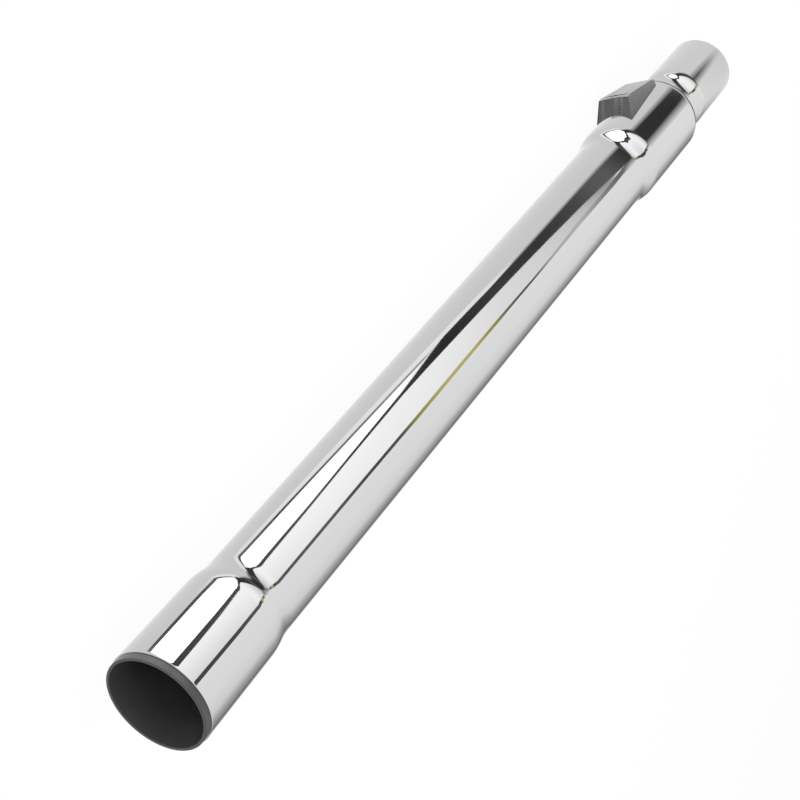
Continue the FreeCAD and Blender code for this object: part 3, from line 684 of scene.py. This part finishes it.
# cards that the chrome mirrors: rows of a place along the wand, two edges in degrees, brightness at each edge
cards = {
    "offWhitePanel": (3000, [
        (-130, -12.8, 13.5, 1.3, 1.5), (18, -13.8, 9.5, 1.2, 1.62), (31, -13.8, 10, 1.22, 1.65),
        (46, -14, 10.5, 1.25, 1.65), (56, -13.2, 12, 1.35, 1.65), (75, -12.8, 13.5, 1.45, 1.62),
        (100, -12.6, 14.8, 1.5, 1.62), (130, -12.6, 16, 1.5, 1.6), (160, -12.8, 18, 1.48, 1.53),
        (200, -12.4, 16, 1.36, 1.45), (240, -12.4, 12, 1.22, 1.25), (280, -12.4, 7, 1.12, 1.1),
        (300, -11.5, 4, 1.02, 1.0), (320, -11.5, 1, 0.88, 0.85), (335, -10.5, -2.5, 0.72, 0.55),
        (352, -10.5, -5, 0.6, 0.25)]),
    "brightPanel": (3000, [
        (-130, 15, 23, 2.0), (-30, 14, 27, 2.1), (18, 12.5, 38, 2.6), (46, 13, 38, 2.6), (60, 14.5, 36.5, 2.4),
        (90, 15, 34.5, 2.2), (120, 17, 31.6, 2.2), (145, 18.6, 29.1, 2.0), (160, 19.4, 27.8, 1.9),
        (186, 22.8, 25.6, 1.4)]),
    "paleFringe": (3050, [
        (40, 41, 44, 1.05), (60, 39, 45, 1.25), (90, 37, 43, 1.3), (120, 34, 41, 1.3), (160, 30, 37, 1.3),
        (200, 26, 33, 1.35), (240, 22, 28, 1.3), (270, 21, 24, 1.05)]),
    "darkBar": (2850, [
        (-130, -16.5, -13.5, 0.2), (18, -18, -13.9, 0.1), (46, -18, -14.2, 0.1), (56, -17.2, -13.8, 0.15),
        (90, -16.9, -13.5, 0.17), (120, -16.7, -13.2, 0.1), (145, -16.8, -13.2, 0.12), (156, -17.3, -13.4, "brass"),
        (180, -17, -12.9, "paleBrass"), (205, -16.6, -12.7, "paleBrass"), (226, -16.6, -12.7, "brass"),
        (238, -16.3, -12.9, 0.2), (262, -16.2, -13.6, 0.13), (280, -16.2, -12.8, 0.68), (310, -15.8, -10.5, 0.76),
        (330, -16.4, -10.8, 0.5), (345, -17, -10.5, 0.3), (362, -16, -9.5, 0.15)]),
    "blackWedge": (2900, [
        (-130, 13, 15.5, 0.3), (18, 6.5, 12.7, 0.08), (31, 7, 12.7, 0.1), (46, 8, 13, 0.1), (54, 9.5, 13.4, 0.1),
        (60, 10.6, 14.4, 0.1), (75, 11.3, 14.6, 0.12), (90, 12, 14.9, 0.17), (105, 13.2, 16, 0.12),
        (120, 14.3, 17.1, 0.08), (140, 15.2, 18.4, 0.07), (160, 16.1, 19.6, 0.08), (180, 15.2, 23.2, 0.05),
        (200, 13.6, 27, 0.04),
        (240, 10, 22.5, 0.07), (280, 5.5, 20.5, 0.06), (300, 2.5, 20, 0.08), (320, -0.5, 19, 0.11),
        (335, -3.5, 18.5, 0.16), (350, -6, 17.5, 0.17), (360, -9, 16.5, 0.1), (368, -10, 15.5, 0.055),
        (392, -9.5, 12.5, 0.05), (410, -9.5, 11, 0.045), (437, -9.5, 9.5, 0.045)]),
    "wedgeTop": (2880, [
        (360, -18.5, -9.5, 1.15, 0.1), (368, -19, -9.3, 1.2, 0.055), (392, -20.5, -9, 1.15, 0.05),
        (410, -20.5, -9, 1.1, 0.045), (437, -21, -8.5, 1.05, 0.045)]),
    "wedgeFoot": (2880, [
        (260, 20, 24, 0.06, 1.0), (280, 19, 23.5, 0.06, 1.0), (320, 17.5, 22.5, 0.11, 1.0), (350, 16, 22, 0.17, 0.95),
        (368, 14, 20.5, 0.055, 0.93), (392, 11, 18, 0.05, 0.93), (410, 9.5, 17, 0.045, 0.93),
        (437, 8, 17, 0.045, 0.93)]),
    "streakTop": (2870, [
        (440, -20, -4, 1.05, 0.1), (450, -17, -4, 1.05, 0.13), (462, -16, -4.6, 1.02, 0.07),
        (475, -14, -4.4, 1.0, 0.38), (488, -10, -4, 0.98, 0.85), (495, -8, -4, 0.97, 0.95)]),
    "streakFoot": (2870, [
        (440, -4, 14, 0.1, 0.93), (450, -4, 9, 0.13, 0.93), (462, -4.6, 6, 0.07, 0.93), (475, -4.4, 5, 0.38, 0.93),
        (488, -4, 2.5, 0.85, 0.93), (495, -4, 0, 0.95, 0.95)]),
    "darkEdge": (2900, [
        (12, 38, 42, 0.6), (18, 38, 42, 0.15), (31, 37.9, 42, 0.12), (46, 37.7, 42, 0.15), (60, 35.9, 39.8, 0.2),
        (75, 35, 38.7, 0.15), (90, 34.1, 37.4, 0.12), (120, 31.2, 34.3, 0.25), (145, 29, 32, 0.3),
        (160, 27.8, 30.6, 0.4), (186, 25.6, 27.8, 0.4)]),
}
tints = {"brass": (0.46, 0.42, 0.12), "paleBrass": (0.78, 0.7, 0.25)}


# seen in mirror images only
def hideFromAll(piece):
    piece.visible_camera = False
    piece.visible_diffuse = False
    piece.visible_transmission = False
    piece.visible_shadow = False


# every row of a card is an arc, so that it keeps its place along the wand
def makeCard(name, reach, rows):
    edges = [[mirrorPoint(row[0], row[side], reach) * mm for row in rows] for side in (1, 2)]
    piece = chain(name, [spot / mm for spot in edges[0]])
    bpy.ops.mesh.select_all(action="DESELECT")
    addChain([spot / mm for spot in edges[1]])
    bpy.ops.mesh.select_all(action="SELECT")
    bpy.ops.mesh.bridge_edge_loops(number_cuts=cardCuts, interpolation="LINEAR")
    bpy.ops.object.mode_set(mode="OBJECT")
    corners = []
    for row, first, last in zip(rows, *edges):
        tones = [Vector(tints[level] if level in tints else (level, level, level)) for level in (row[3], row[-1])]
        for step in range(cardCuts + 2):
            share = step / (cardCuts + 1)
            place = mirrorPoint(row[0], row[1] + (row[2] - row[1]) * share, reach) * mm
            corners.append((first.lerp(last, share), place, tones[0].lerp(tones[1], share)))
    glows = piece.data.attributes.new("glow", "FLOAT_COLOR", "POINT")
    for vertex in piece.data.vertices:
        corner = min(corners, key=lambda item: (item[0] - vertex.co).length)
        vertex.co = corner[1]
        glows.data[vertex.index].color = (*corner[2], 1)
    finish = newFinish(name + "Face")
    tone = finish.node("Attribute", {"attribute_name": "glow"})
    glow = finish.node("Emission", None, {"Color": tone, "Strength": 1.0})
    finish.node("OutputMaterial", None, {"Surface": glow})
    piece.data.materials.append(finish.owner)
    hideFromAll(piece)


for cardName, (cardReach, cardRows) in cards.items():
    makeCard(cardName, cardReach, cardRows)

# pale round panel beyond the spigot, its edge soft
endPanel = {"along": 3.41, "radius": 1.93, "full": 1.78, "level": 1.03, "faces": 96}


def makeEndPanel():
    clearSelection()
    bpy.ops.mesh.primitive_circle_add(
        vertices=endPanel["faces"], radius=endPanel["radius"], fill_type="NGON",
        location=(endPanel["along"], 0, 0), rotation=(0, math.pi / 2, 0))
    piece = bpy.context.object
    piece.name = "endPanel"
    finish = newFinish("endPanelFace")
    place = finish.node("TexCoord", output=objectCoords)
    away = finish.node("VectorMath", {"operation": "LENGTH"}, {0: place}, 1)
    share = finish.node("MapRange", None, {0: away, 1: endPanel["radius"], 2: endPanel["full"]})
    clear = finish.node("BsdfTransparent")
    glow = finish.node("Emission", None, {"Color": white, "Strength": endPanel["level"]})
    mixed = finish.node("MixShader", None, {0: share, 1: clear, 2: glow})
    finish.node("OutputMaterial", None, {"Surface": mixed})
    piece.data.materials.append(finish.owner)
    hideFromAll(piece)


makeEndPanel()

# lamps, in metres and watts, left out of mirror images
lamps = {
    "topLamp": {"place": (0.2, -0.5, 1.6), "aim": (0.25, 0, 0), "size": 1.6, "power": 18},
    "frontLamp": {"place": (-0.55, 0.78, 0.4), "aim": (0.2, 0, 0), "size": 0.5, "power": 3.4},
    "lowLamp": {"place": (0.96, 0.72, -0.47), "aim": (0.41, 0.02, -0.01), "size": 0.5, "power": 60},
}
for lampName, lamp in lamps.items():
    lampData = bpy.data.lights.new(lampName, "AREA")
    lampData.size = lamp["size"]
    lampData.energy = lamp["power"]
    lampObject = bpy.data.objects.new(lampName, lampData)
    bpy.context.scene.collection.objects.link(lampObject)
    lampObject.location = lamp["place"]
    lampWay = Vector(lamp["aim"]) - Vector(lamp["place"])
    lampObject.rotation_euler = lampWay.to_track_quat("-Z", "Y").to_euler()
    lampObject.visible_glossy = False
    lampObject.visible_camera = False
print("stage set")


def makeCamera():
    look = (Vector(viewpoint["aim"]) - Vector(viewpoint["place"])).normalized()
    levelRight = look.cross(Vector((0, 0, 1))).normalized()
    levelUp = levelRight.cross(look)
    turn = math.radians(viewpoint["roll"])
    right = levelRight * math.cos(turn) + levelUp * math.sin(turn)
    up = (-look).cross(right)
    lensData = bpy.data.cameras.new("camera")
    lensData.lens = viewpoint["lens"]
    lensData.sensor_width = viewpoint["sensor"]
    lensData.clip_start, lensData.clip_end = viewpoint["clip"]
    camera = bpy.data.objects.new("camera", lensData)
    bpy.context.scene.collection.objects.link(camera)
    axes = Matrix((right, up, -look)).transposed()
    camera.matrix_world = Matrix.Translation(Vector(viewpoint["place"]) * mm) @ axes.to_4x4()
    bpy.context.scene.camera = camera


makeCamera()
bpy.context.scene.view_settings.view_transform = "Standard"
